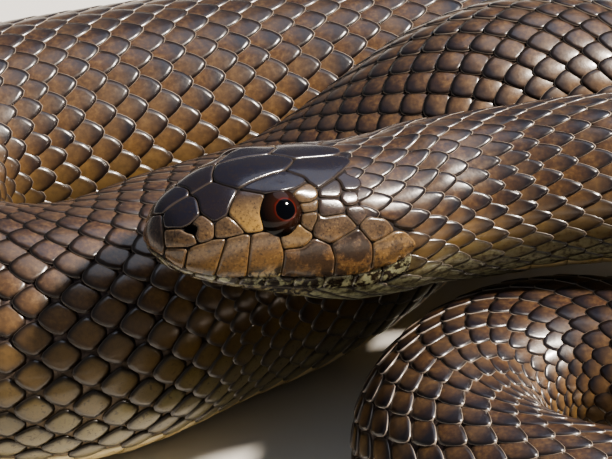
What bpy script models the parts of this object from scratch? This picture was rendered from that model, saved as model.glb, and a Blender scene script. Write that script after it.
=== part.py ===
"""Adult mole snake at rest in a low pile of coils, life size, in metres.

The body follows one centre line from the back of the head to the tip of the tail.
It is cut into short lengths with thin gaps, and every length lies on its flat belly
or on the coil below it. The head, lower jaw and eyes are separate solids.
"""
import math

import bpy
import numpy as np

MM = 0.001

# Centre line: control points of a uniform cubic B-spline, in mm.
# The third number is the clear height of the belly above the ground.
LAY = np.array([
    (-29.3, -21.1, 32.4), (-17.2, -13.8, 29.8), (-5, -6.6, 27.1), (7.4, 0.6, 24.6),
    (19.2, 7.9, 21.7), (37.5, 8.7, 24.6), (54, 10, 21), (67, 9, 21), (79, 2, 18),
    (81.5, -7, 8.5), (72, -14.5, 0), (59.5, -14.5, 0), (48.5, -7.5, 0),
    (36.5, 0.5, 0), (24, -1.5, 0), (16, -12.5, 0), (18.5, -26, 0), (31, -34, 0),
    (45, -36.5, 0), (67.5, -41, 0), (88.5, -37.5, 0), (109, -27, 0),
    (123.5, -8.5, 0), (123, 10.5, 0), (103.5, 25, 0), (82, 29.5, 0),
    (61.5, 32.5, 3), (46.5, 35.1, 12), (34.5, 35.8, 16.2), (21, 32.2, 15.5),
    (10.5, 26.5, 7.5), (-2, 20, 0), (-14.5, 13.5, 0), (-26.5, 0.5, 0),
    (-46.5, 1.5, 0), (-58.5, 18.5, 0), (-51, 40.5, 0), (-31.5, 46.5, 0),
    (-9, 54, 0), (18.5, 59, 0), (46, 65.5, 0), (74, 63, 0), (101.5, 59.5, 0),
    (130, 56.5, 0), (155, 40.5, 0), (165.5, 13, 0), (163.5, -16, 0),
    (152.5, -43, 0), (131.5, -61.5, 0), (104, -70.5, 0), (74.5, -73.5, 0),
    (45.5, -73.5, 0), (17, -70.5, 0), (-11, -64.5, 0), (-38.5, -54.5, 0),
    (-64, -38, 0), (-81.5, -14, 0), (-86, 8, 0), (-83, 30, 0), (-75, 50, 0),
    (-65, 70, 0)], float)

# Half width of the body in mm, against the distance from the snout in mm.
GIRTH = np.array([
    (0, 10), (50, 10.1), (75, 10.7), (130, 11.5), (180, 12.1), (240, 12.7),
    (320, 13.1), (390, 13.3), (440, 13.6), (470, 14.6), (495, 15.6), (520, 16.2),
    (590, 16.3), (640, 16), (730, 15.2), (840, 13.6), (930, 11.8), (990, 10),
    (1018, 8.6), (1075, 6.6), (1130, 4.4), (1162, 2.7), (1178, 1.5), (1186, 0.5)])

BELLY = 0.94            # depth of the flat belly below the centre line, per half width
HEAD_BASE = 36.0        # distance from the snout where the skull meets the neck
HEAD_LENGTH = 37.0
CENTRE = (44.743, -2.244)   # plan position of the pile's middle in the layout above, mm

# Cuts between the lengths of the body, mm from the snout.
CUTS = (36.3, 68, 96, 122, 150, 182, 212, 262, 318, 362, 420, 462, 500, 540, 585,
        660, 735, 790, 850, 920, 1000, 1095, 1186)
CUT_GAP = 0.3
BODY_SIDES = 16         # facets round the body above the belly
RING_STEP = 7.0         # longest step between rings, mm
RING_TURN = 14.0        # largest turn between rings, degrees

# Head stations: distance from the snout, half width, crown height, throat depth,
# height of the widest line, fullness of the upper and of the lower section, in mm.
HEAD = np.array([
    (0.8, 0.05, -0.25, -0.35, -0.3, 2.0, 2.0),
    (1.0, 1.2, 0.75, -1.1, -0.3, 2.0, 2.0),
    (1.45, 2.15, 1.8, -1.75, -0.3, 2.1, 2.05),
    (2.1, 3.1, 2.9, -2.4, -0.4, 2.3, 2.1),
    (3.1, 4.25, 4.0, -3.3, -0.6, 2.5, 2.2),
    (6.0, 5.95, 5.55, -4.6, -1.1, 2.8, 2.3),
    (9.0, 7.0, 7.0, -5.5, -1.5, 2.8, 2.35),
    (12.0, 7.7, 7.9, -6.3, -1.8, 2.7, 2.35),
    (15.0, 8.2, 8.3, -7.1, -2.0, 2.6, 2.35),
    (19.0, 9.2, 8.4, -8.2, -2.1, 2.5, 2.35),
    (24.0, 10.0, 8.2, -9.4, -1.9, 2.35, 2.3),
    (28.0, 10.25, 8.1, -10.1, -1.5, 2.2, 2.2),
    (33.0, 10.2, 8.7, -10.1, -0.8, 2.1, 2.1),
    (37.0, 10.0, 9.8, -9.6, 0.0, 2.0, 2.1)])
MOUTH = np.array([(2, -1.2), (3, -1.8), (6, -2.5), (10, -2.7), (15, -2.6),
                  (20, -2.6), (25, -2.4), (29, -1.3), (31.8, 0.2)])
MOUTH_FRONT, MOUTH_BACK = 2.0, 31.8
LIP_GAP = 0.3           # between the upper lip and the lower jaw
JAW_FRONT, JAW_BACK = 2.6, 31.4
JAW_SLIM = 0.96         # the jaw closes inside the upper lip
HEAD_STEPS = (0.8, 0.87, 1.0, 1.2, 1.5, 2.0, 2.5, 3.5, 5.0, 7.0, 9.2, 11.6, 14.0, 16.5,
              19.0, 21.5, 24.0, 26.5, 29.0, 31.8, 31.85, 34.0, 36.75)
ARC_TOP, ARC_LOW = 17, 9    # points round the upper head and round the throat

EYE_AT = (14.64, 4.43, 3.94)  # centre: from the snout, from the middle, above the axis
EYE_R = 3.6
SOCKET_R = 3.75
NOSTRIL_AT = (4.1, 4.3, 3.25)
NOSTRIL_R = 0.7


def clear_scene():
    for item in list(bpy.data.objects):
        bpy.data.objects.remove(item, do_unlink=True)
    for mesh in list(bpy.data.meshes):
        bpy.data.meshes.remove(mesh)


def unit(v):
    return v / np.linalg.norm(v, axis=-1, keepdims=True)


def half_width(s):
    return np.interp(s, GIRTH[:, 0], GIRTH[:, 1])


class CentreLine:
    """Position and frame at any distance from the snout."""

    def __init__(self, samples=6000):
        t = np.linspace(0, len(LAY) - 3 - 1e-9, samples)
        i = t.astype(int)
        f = (t - i)[:, None]
        q = ((1 - f) ** 3 * LAY[i] + (3 * f ** 3 - 6 * f ** 2 + 4) * LAY[i + 1]
             + (-3 * f ** 3 + 3 * f ** 2 + 3 * f + 1) * LAY[i + 2] + f ** 3 * LAY[i + 3]) / 6
        run = np.r_[0, np.cumsum(np.linalg.norm(np.diff(q, axis=0), axis=1))]
        self.s = np.arange(0, run[-1], 1.0)
        self.p = np.stack([np.interp(self.s, run, q[:, k]) for k in range(3)], 1)
        self.p[:, 2] += BELLY * half_width(self.s)
        self.p[:, :2] -= CENTRE
        self.t = unit(np.gradient(self.p, axis=0))

    def at(self, s):
        """Point, tangent, left and up vectors; left is the snake's own left side."""
        s = np.atleast_1d(np.asarray(s, float))
        p = np.stack([np.interp(s, self.s, self.p[:, k]) for k in range(3)], 1)
        t = unit(np.stack([np.interp(s, self.s, self.t[:, k]) for k in range(3)], 1))
        left = unit(np.cross(t, np.array([0.0, 0.0, 1.0])))
        up = np.cross(left, t)
        return p, t, left, up


def add_mesh(name, points, faces, material):
    mesh = bpy.data.meshes.new(name)
    mesh.from_pydata([tuple(v) for v in np.asarray(points) * MM], [], faces)
    mesh.validate()
    mesh.update()
    mesh.materials.append(material)
    obj = bpy.data.objects.new(name, mesh)
    bpy.context.scene.collection.objects.link(obj)
    for poly in mesh.polygons:
        poly.use_smooth = True
    return obj


def loft(name, rings, material):
    """Close a stack of equal rings with flat ends, faces outward."""
    rings = np.asarray(rings)
    count, sides = rings.shape[:2]
    faces = []
    for i in range(count - 1):
        for j in range(sides):
            k = (j + 1) % sides
            faces.append((i * sides + j, i * sides + k, (i + 1) * sides + k, (i + 1) * sides + j))
    faces.append(tuple(range(sides))[::-1])
    faces.append(tuple((count - 1) * sides + j for j in range(sides)))
    obj = add_mesh(name, rings.reshape(-1, 3), faces, material)
    face_out(obj)
    return obj


def face_out(obj):
    """Turn the faces outward if the signed volume is negative."""
    mesh = obj.data
    mesh.calc_loop_triangles()
    pts = np.array([v.co for v in mesh.vertices])
    tri = np.array([t.vertices for t in mesh.loop_triangles])
    a, b, c = pts[tri[:, 0]], pts[tri[:, 1]], pts[tri[:, 2]]
    if np.einsum("ij,ij->i", a, np.cross(b, c)).sum() < 0:
        mesh.flip_normals()


def belly_ring(line, s):
    """Round section with a flat belly, its facets starting at the flat's two edges."""
    p, _, left, up = line.at(s)
    edge = math.asin(BELLY)
    turn = np.linspace(-edge, math.pi + edge, BODY_SIDES + 1)
    r = half_width(s)
    return p[0] + r * (np.cos(turn)[:, None] * left[0] + np.sin(turn)[:, None] * up[0])


def ring_places(line, start, end):
    """Even steps, shorter where the body bends."""
    _, t, _, _ = line.at(np.linspace(start, end, 60))
    turn = np.degrees(np.arccos(np.clip(np.einsum("ij,ij->i", t[1:], t[:-1]), -1, 1))).sum()
    steps = max(2, math.ceil((end - start) / RING_STEP), math.ceil(turn / RING_TURN))
    return np.linspace(start, end, steps + 1)


def body_lengths(line, skin):
    names = ["neck_1", "neck_2"]
    names += ["trunk_%02d" % k for k in range(1, len(CUTS) - 4)]
    names += ["tail_base", "tail_tip"]
    for name, start, end in zip(names, CUTS[:-1], CUTS[1:]):
        stations = ring_places(line, start + CUT_GAP / 2, end - CUT_GAP / 2)
        loft(name, [belly_ring(line, s) for s in stations], skin)


def head_profile(x):
    """Cubic through the head stations without overshoot."""
    k = int(np.clip(np.searchsorted(HEAD[:, 0], x, side="right") - 1, 0, len(HEAD) - 2))
    gap = np.diff(HEAD[:, 0])
    slope = np.diff(HEAD[:, 1:], axis=0) / gap[:, None]
    a, b = slope[:-1], slope[1:]
    inner = np.where(a * b > 0, 2 * a * b / np.where(a * b > 0, a + b, 1), 0)
    m = np.vstack([slope[:1] * 1.6, inner, np.zeros((1, 6))])
    t = (x - HEAD[k, 0]) / gap[k]
    return ((2 * t ** 3 - 3 * t ** 2 + 1) * HEAD[k, 1:] + (t ** 3 - 2 * t ** 2 + t) * gap[k] * m[k]
            + (-2 * t ** 3 + 3 * t ** 2) * HEAD[k + 1, 1:] + (t ** 3 - t ** 2) * gap[k] * m[k + 1])


def head_point(x, turn):
    """Side and height of the head's surface at an angle round its widest line."""
    w, crown, throat, wide, full_top, full_low = head_profile(x)
    c, s = np.cos(turn), np.sin(turn)
    power = np.where(s > 0, 2 / full_top, 2 / full_low)
    rise = np.where(s > 0, crown - wide, wide - throat)
    side = w * np.sign(c) * np.abs(c) ** power
    return side, wide + rise * np.sign(s) * np.abs(s) ** power


def mouth_turn(x, height):
    """Angle below the widest line at which the head's surface has this height."""
    _, _, throat, wide, _, full_low = head_profile(x)
    share = np.clip((wide - height) / (wide - throat), 0.0, 0.999)
    return -math.asin(share ** (full_low / 2))


class HeadFrame:
    def __init__(self, line):
        p, t, left, up = line.at(HEAD_BASE)
        self.base, self.back, self.left, self.up = p[0], t[0], left[0], up[0]

    def place(self, x, side, height):
        x, side, height = np.broadcast_arrays(x, side, height)
        return (self.base + (x - HEAD_LENGTH)[..., None] * self.back
                + side[..., None] * self.left + height[..., None] * self.up)


def head_ring(frame, x):
    """Upper head: closed by the palate where the mouth runs, by the throat elsewhere."""
    open_here = MOUTH_FRONT < x <= MOUTH_BACK
    low = mouth_turn(x, np.interp(x, MOUTH[:, 0], MOUTH[:, 1]))
    side, height = head_point(x, np.linspace(low, math.pi - low, ARC_TOP))
    if open_here:
        share = np.linspace(0, 1, ARC_LOW + 2)[1:-1]
        side2 = side[-1] + (side[0] - side[-1]) * share
        height2 = height[-1] + (height[0] - height[-1]) * share
    else:
        side2, height2 = head_point(x, np.linspace(math.pi - low, 2 * math.pi + low, ARC_LOW + 2)[1:-1])
    return frame.place(x, np.r_[side, side2], np.r_[height, height2])


def jaw_ring(frame, x):
    lip = np.interp(x, MOUTH[:, 0], MOUTH[:, 1]) - LIP_GAP
    low = mouth_turn(x, lip)
    side, height = head_point(x, np.linspace(math.pi - low, 2 * math.pi + low, ARC_LOW + 4))
    share = np.linspace(0, 1, ARC_LOW)[1:-1]
    side = np.r_[side, side[-1] + (side[0] - side[-1]) * share] * JAW_SLIM
    height = np.r_[height, height[-1] + (height[0] - height[-1]) * share]
    return frame.place(x, side, height)


def ball(name, centre, radius, segments, rings, material):
    """Sphere with its poles on the vertical."""
    points = [centre + np.array([0, 0, radius])]
    for i in range(1, rings):
        a = math.pi * i / rings
        for j in range(segments):
            b = 2 * math.pi * j / segments
            points.append(centre + radius * np.array(
                [math.sin(a) * math.cos(b), math.sin(a) * math.sin(b), math.cos(a)]))
    points.append(centre - np.array([0, 0, radius]))
    last = len(points) - 1
    faces = []
    for j in range(segments):
        k = (j + 1) % segments
        faces.append((0, 1 + j, 1 + k))
        base = last - segments
        faces.append((last, base + k, base + j))
        for i in range(rings - 2):
            a = 1 + i * segments
            faces.append((a + j, a + segments + j, a + segments + k, a + k))
    obj = add_mesh(name, points, faces, material)
    face_out(obj)
    return obj


def carve(target, cutter):
    cut = target.modifiers.new(cutter.name, "BOOLEAN")
    cut.operation = "DIFFERENCE"
    cut.solver = "EXACT"
    cut.object = cutter
    cutter.hide_render = True
    cutter.display_type = "WIRE"


def apply_cuts(target):
    bpy.context.view_layer.update()
    ready = target.evaluated_get(bpy.context.evaluated_depsgraph_get())
    mesh = bpy.data.meshes.new_from_object(ready)
    cutters = [m.object for m in target.modifiers]
    target.modifiers.clear()
    target.data = mesh
    for cutter in cutters:
        bpy.data.objects.remove(cutter, do_unlink=True)


def material(name, colour, roughness):
    mat = bpy.data.materials.new(name)
    mat.use_nodes = True
    shader = mat.node_tree.nodes["Principled BSDF"]
    shader.inputs["Base Color"].default_value = (*colour, 1.0)
    shader.inputs["Roughness"].default_value = roughness
    return mat


def main():
    clear_scene()
    skin = material("scaly_skin", (0.13, 0.085, 0.045), 0.3)
    lip = material("jaw_skin", (0.32, 0.27, 0.17), 0.35)
    wet = material("eye_dark", (0.02, 0.012, 0.012), 0.05)
    line = CentreLine()
    frame = HeadFrame(line)
    head = loft("head", [head_ring(frame, x) for x in HEAD_STEPS], skin)
    jaw_steps = [x for x in HEAD_STEPS if JAW_FRONT < x < JAW_BACK]
    loft("lower_jaw", [jaw_ring(frame, x) for x in [JAW_FRONT, *jaw_steps, JAW_BACK]], lip)
    for side, sign in (("left", 1), ("right", -1)):
        centre = frame.place(EYE_AT[0], sign * EYE_AT[1], EYE_AT[2])
        ball("eye_" + side, centre, EYE_R, 18, 10, wet)
        carve(head, ball("socket_" + side, centre, SOCKET_R, 18, 10, wet))
        nostril = frame.place(NOSTRIL_AT[0], sign * NOSTRIL_AT[1], NOSTRIL_AT[2])
        carve(head, ball("nostril_" + side, nostril, NOSTRIL_R, 8, 5, wet))
    apply_cuts(head)
    body_lengths(line, skin)


main()
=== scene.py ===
"""Adult mole snake, life size, at rest in a low pile of coils.

One skin runs from the snout to the tip of the tail. Over it lie the head shields, the
scales of the back in their slanting rows, and the broad plates of the belly, each a thin
solid of its own with a free hind edge. The eyes are separate glossy balls.
"""
import math

import bpy
import numpy as np
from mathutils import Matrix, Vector
from mathutils.bvhtree import BVHTree
from mathutils.geometry import delaunay_2d_cdt


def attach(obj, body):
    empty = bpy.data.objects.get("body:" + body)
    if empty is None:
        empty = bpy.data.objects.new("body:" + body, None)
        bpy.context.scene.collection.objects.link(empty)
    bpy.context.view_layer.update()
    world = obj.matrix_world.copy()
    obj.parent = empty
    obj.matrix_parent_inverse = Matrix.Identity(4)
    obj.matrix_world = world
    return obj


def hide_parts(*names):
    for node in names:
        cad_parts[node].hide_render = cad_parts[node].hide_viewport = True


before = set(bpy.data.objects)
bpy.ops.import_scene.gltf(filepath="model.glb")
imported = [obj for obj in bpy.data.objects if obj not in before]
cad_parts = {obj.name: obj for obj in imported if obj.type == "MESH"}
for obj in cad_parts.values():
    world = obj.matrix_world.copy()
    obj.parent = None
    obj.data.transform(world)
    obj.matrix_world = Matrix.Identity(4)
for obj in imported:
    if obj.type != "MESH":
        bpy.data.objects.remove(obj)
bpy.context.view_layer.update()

MM = 0.001
rng = np.random.default_rng(41)

# ---------------------------------------------------------------- the animal's measures, mm
# Middle line of the body: control points of a cubic B-spline. The third number is the
# clear height of the belly over the ground.
LAY = np.array([
    (-29.3, -21.1, 32.4), (-17.2, -13.8, 29.8), (-5, -6.6, 27.1), (7.4, 0.6, 24.6),
    (19.2, 7.9, 21.7), (37.5, 8.7, 24.6), (54, 10, 21), (67, 9, 21), (79, 2, 18),
    (81.5, -7, 8.5), (72, -14.5, 0), (59.5, -14.5, 0), (48.5, -7.5, 0),
    (36.5, 0.5, 0), (24, -1.5, 0), (16, -12.5, 0), (18.5, -26, 0), (31, -34, 0),
    (45, -36.5, 0), (67.5, -41, 0), (88.5, -37.5, 0), (109, -27, 0),
    (123.5, -8.5, 0), (123, 10.5, 0), (103.5, 25, 0), (82, 29.5, 0),
    (61.5, 32.5, 3), (46.5, 35.1, 12), (34.5, 35.8, 16.2), (21, 32.2, 15.5),
    (10.5, 26.5, 7.5), (-2, 20, 0), (-14.5, 13.5, 0), (-26.5, 0.5, 0),
    (-46.5, 1.5, 0), (-58.5, 18.5, 0), (-51, 40.5, 0), (-31.5, 46.5, 0),
    (-9, 54, 0), (18.5, 59, 0), (46, 65.5, 0), (74, 63, 0), (101.5, 59.5, 0),
    (130, 56.5, 0), (155, 40.5, 0), (165.5, 13, 0), (163.5, -16, 0),
    (152.5, -43, 0), (131.5, -61.5, 0), (104, -70.5, 0), (74.5, -73.5, 0),
    (45.5, -73.5, 0), (17, -70.5, 0), (-11, -64.5, 0), (-38.5, -54.5, 0),
    (-64, -38, 0), (-81.5, -14, 0), (-86, 8, 0), (-83, 30, 0), (-75, 50, 0),
    (-65, 70, 0)], float)
CENTRE = (44.743, -2.244)

# Half width of the body against the distance from the snout.
GIRTH = np.array([
    (0, 10), (50, 10.1), (75, 10.7), (130, 11.5), (180, 12.1), (240, 12.7),
    (320, 13.1), (390, 13.3), (440, 13.6), (470, 14.6), (495, 15.6), (520, 16.2),
    (590, 16.3), (640, 16), (730, 15.2), (840, 13.6), (930, 11.8), (990, 10),
    (1018, 8.6), (1075, 6.6), (1130, 4.4), (1162, 2.7), (1178, 1.5), (1186, 0.5)])
BELLY = 0.94            # depth of the flat belly under the middle line, per half width
LENGTH = 1186.0
VENT = 1000.0
SKULL = 36.0            # distance from the snout where the straight skull ends
LEAD = 1.0              # distances on the head, x, are this much more than s along the body
NECK = (33.0, 44.0)     # s where the head's sections begin and end to pass into the body's
BELLY_EDGE = math.radians(-40)          # turn of the flat belly's edge on the body

# Head stations: distance x, half width, crown, throat, height of the widest line, and the
# fullness of the upper and of the lower half of the section.
HEAD = np.array([
    (0.8, 0.05, -0.25, -0.35, -0.3, 2.0, 2.0),
    (1.0, 1.2, 0.75, -1.1, -0.3, 2.0, 2.0),
    (1.45, 2.15, 1.8, -1.75, -0.3, 2.1, 2.05),
    (2.1, 3.1, 2.9, -2.4, -0.4, 2.3, 2.1),
    (3.1, 4.25, 4.0, -3.3, -0.6, 2.5, 2.2),
    (6.0, 5.95, 5.55, -4.6, -1.1, 2.8, 2.3),
    (9.0, 7.0, 7.0, -5.5, -1.5, 2.8, 2.35),
    (12.0, 7.7, 7.9, -6.3, -1.8, 2.7, 2.35),
    (15.0, 8.2, 8.3, -7.1, -2.0, 2.6, 2.35),
    (19.0, 9.2, 8.4, -8.2, -2.1, 2.5, 2.35),
    (24.0, 10.0, 8.2, -9.4, -1.9, 2.35, 2.3),
    (28.0, 10.25, 8.1, -10.1, -1.5, 2.2, 2.2),
    (33.0, 10.2, 8.7, -10.1, -0.8, 2.1, 2.1),
    (37.0, 10.0, 9.8, -9.6, 0.0, 2.0, 2.1)])
# Mouth line: distance x and height.
MOUTH = np.array([(2, -1.2), (3, -1.8), (6, -2.5), (10, -2.7), (15, -2.6),
                  (20, -2.6), (25, -2.4), (29, -1.3), (31.8, 0.2)])
MOUTH_FRONT = 2.2
JAW_STEP = 0.38         # how far the lower jaw closes inside the upper lip
EYE_AT = (14.72, 4.55, 4.1)             # from the snout's tip: back, outward, up
EYE_R = 3.4
PUPIL_TOWARD = (-0.11, 2.05, 1.59)      # from the ball's middle: back, outward, up
IRIS_REACH = math.radians(60)           # angle from the pupil's middle that counts as 1
BROW_AT, BROW_RISE = (14.9, 60.0), 0.6  # ridge over the eye: distance, turn, height
BROW_SPREAD = (2.7, 8.0)                # and how far it reaches: along in mm, round in degrees
NOSTRIL_AT = (4.0, 41.0)                # distance from the snout, turn in degrees

SKIN_DEPTH_HEAD = 0.32  # how far the skin lies under the outline that the scales make
SKIN_DEPTH_BODY = 0.48
DORSAL_ARC = 254.0      # part of the girth that the slanting rows cover, degrees
GOLDEN_AT = 508.0       # the flanks are brightest round here
PATCH = 0.003           # length of one scale's patch on the unwrap


# ---------------------------------------------------------------- shape of the whole animal
def unit(v):
    """Vectors made 1 long."""
    return v / np.maximum(np.linalg.norm(v, axis=-1, keepdims=True), 1e-12)


def ease(low, high, x):
    """Rises smoothly from 0 at low to 1 at high."""
    t = np.clip((x - low) / (high - low), 0.0, 1.0)
    return t * t * (3.0 - 2.0 * t)


def half_width(s):
    """Half width of the body, mm."""
    return np.interp(s, GIRTH[:, 0], GIRTH[:, 1])


def middle_line(samples=6000):
    """Distances, points and directions along the body."""
    t = np.linspace(0, len(LAY) - 3 - 1e-9, samples)
    i = t.astype(int)
    f = (t - i)[:, None]
    q = ((1 - f) ** 3 * LAY[i] + (3 * f ** 3 - 6 * f ** 2 + 4) * LAY[i + 1]
         + (-3 * f ** 3 + 3 * f ** 2 + 3 * f + 1) * LAY[i + 2] + f ** 3 * LAY[i + 3]) / 6
    run = np.r_[0, np.cumsum(np.linalg.norm(np.diff(q, axis=0), axis=1))]
    s = np.arange(0, run[-1], 1.0)
    p = np.stack([np.interp(s, run, q[:, k]) for k in range(3)], 1)
    p[:, 2] += BELLY * half_width(s)
    p[:, :2] -= CENTRE
    return s, p, unit(np.gradient(p, axis=0))


def smooth_stations():
    """The head stations joined by curves that don't overshoot, every 0.05 mm."""
    gap = np.diff(HEAD[:, 0])
    slope = np.diff(HEAD[:, 1:], axis=0) / gap[:, None]
    a, b = slope[:-1], slope[1:]
    same = a * b > 0
    inner = np.where(same, 2 * a * b / np.where(same, a + b, 1), 0)
    m = np.vstack([slope[:1] * 1.6, inner, np.zeros((1, 6))])
    x = np.arange(HEAD[0, 0], SKULL + LEAD + 0.001, 0.05)
    k = np.clip(np.searchsorted(HEAD[:, 0], x, side="right") - 1, 0, len(HEAD) - 2)
    t = ((x - HEAD[k, 0]) / gap[k])[:, None]
    g = gap[k][:, None]
    y = ((2 * t ** 3 - 3 * t ** 2 + 1) * HEAD[k, 1:] + (t ** 3 - 2 * t ** 2 + t) * g * m[k]
         + (-2 * t ** 3 + 3 * t ** 2) * HEAD[k + 1, 1:] + (t ** 3 - t ** 2) * g * m[k + 1])
    return x, y


LINE_S, LINE_P, LINE_T = middle_line()
STATION_X, STATION = smooth_stations()


def along(s, table):
    """Points or directions of the middle line at distances s."""
    return np.stack([np.interp(s, LINE_S, table[:, k]) for k in range(3)], -1)


SKULL_P = along(SKULL, LINE_P)
SKULL_T = unit(along(SKULL, LINE_T))


def axis(s):
    """Middle point, left and up at each distance; the skull is straight."""
    straight = (s < SKULL)[..., None]
    p = np.where(straight, SKULL_P + (s - SKULL)[..., None] * SKULL_T, along(s, LINE_P))
    t = np.where(straight, SKULL_T, unit(along(s, LINE_T)))
    left = unit(np.cross(t, (0.0, 0.0, 1.0)))
    return p, left, np.cross(left, t)


def station(s):
    """The six measures of the head's section, in the order of HEAD."""
    return [np.interp(s + LEAD, STATION_X, STATION[:, k]) for k in range(6)]


def mouth_turn(s):
    """Turn of the lip line on the left of the head; on the body, of the belly's edge."""
    _, _, throat, wide, _, low_full = station(s)
    height = np.interp(s + LEAD, MOUTH[:, 0], MOUTH[:, 1])
    share = np.clip((wide - height) / (wide - throat), -0.9, 0.98)
    turn = -np.arcsin(np.sign(share) * np.abs(share) ** (low_full / 2))
    return turn + (BELLY_EDGE - turn) * ease(31.0, NECK[1], s)


def jaw_inset(s, turn):
    """The lower jaw closes a little inside the upper lip."""
    x = s + LEAD
    within = ease(MOUTH_FRONT, MOUTH_FRONT + 0.7, x) * (1 - ease(29.0, 32.5, x))
    fold = np.where(turn > math.pi / 2, math.pi - turn, turn)
    return JAW_STEP * within * (fold < mouth_turn(s) - 0.004)


def outline(s, turn):
    """Point on the outer surface, mm; turn is in radians, 0 on the left flank and a
    quarter turn on the back."""
    w, crown, throat, wide, top_full, low_full = station(s)
    c, h = np.cos(turn), np.sin(turn)
    power = np.where(h > 0, 2 / top_full, 2 / low_full)
    rise = np.where(h > 0, crown - wide, wide - throat)
    w = w - jaw_inset(s, turn)
    side = w * np.sign(c) * np.abs(c) ** power
    high = wide + rise * np.sign(h) * np.abs(h) ** power
    r = half_width(s)
    body = ease(*NECK, s)
    side = side * (1 - body) + r * c * body
    high = high * (1 - body) + np.maximum(r * h, -BELLY * r) * body
    fold = np.where(turn > math.pi / 2, math.pi - turn, turn)
    along_brow = (s + LEAD - BROW_AT[0]) / BROW_SPREAD[0]
    round_brow = (np.degrees(fold) - BROW_AT[1]) / BROW_SPREAD[1]
    ridge = BROW_RISE * np.exp(-along_brow ** 2 - round_brow ** 2)
    side, high = side + ridge * 0.75 * np.sign(c), high + ridge * 0.6
    p, left, up = axis(s)
    return p + side[..., None] * left + high[..., None] * up


def on_body(s, turn, lift):
    """Point at a height over the outer surface."""
    s, turn, lift = np.broadcast_arrays(*(np.asarray(v, float) for v in (s, turn, lift)))
    p = outline(s, turn)
    ds = outline(s + 0.15, turn) - outline(s - 0.15, turn)
    dt = outline(s, turn + 0.02) - outline(s, turn - 0.02)
    return p + lift[..., None] * unit(np.cross(ds, dt))


# ---------------------------------------------------------------- finishes
def colour(code):
    """sRGB hex to linear."""
    c = np.array([int(code[i:i + 2], 16) for i in (1, 3, 5)]) / 255
    return (*np.where(c <= 0.04045, c / 12.92, ((c + 0.055) / 1.055) ** 2.4), 1.0)


def node(tree, kind, inputs=None, out=0, stops=(), **settings):
    """Adds a node and gives one of its outputs. An input is a number, a hex colour or
    another node's output; stops are the places and colours of a colour ramp."""
    made = tree.nodes.new("ShaderNode" + kind)
    for name, value in settings.items():
        setattr(made, name, value)
    for key, value in (inputs or {}).items():
        if isinstance(value, bpy.types.NodeSocket):
            tree.links.new(value, made.inputs[key])
        else:
            made.inputs[key].default_value = colour(value) if isinstance(value, str) else value
    if stops:
        band = made.color_ramp.elements
        while len(band) < len(stops):
            band.new(0.5)
        for stop, (place, code) in zip(band, stops):
            stop.position = place
            stop.color = colour(code)
    return made.outputs[out]


def finish(name, roughness, coat=0.0, coat_roughness=0.1, specular=0.5, ior=1.54):
    """A new material with its nodes and shader; horn has IOR 1.54."""
    mat = bpy.data.materials.new(name)
    mat.use_nodes = True
    shader = mat.node_tree.nodes["Principled BSDF"]
    values = {"Roughness": roughness, "Coat Weight": coat, "Coat Roughness": coat_roughness,
              "Specular IOR Level": specular, "IOR": ior}
    for key, value in values.items():
        shader.inputs[key].default_value = value
    return mat, mat.node_tree, shader


def paint(tree, shader, base, layers):
    """Lays colours over the base, each by its share, and gives them to the shader."""
    for share, tint in layers:
        base = node(tree, "Mix", {0: share, 6: base, 7: tint}, 2, data_type="RGBA")
    tree.links.new(base, shader.inputs["Base Color"])


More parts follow.
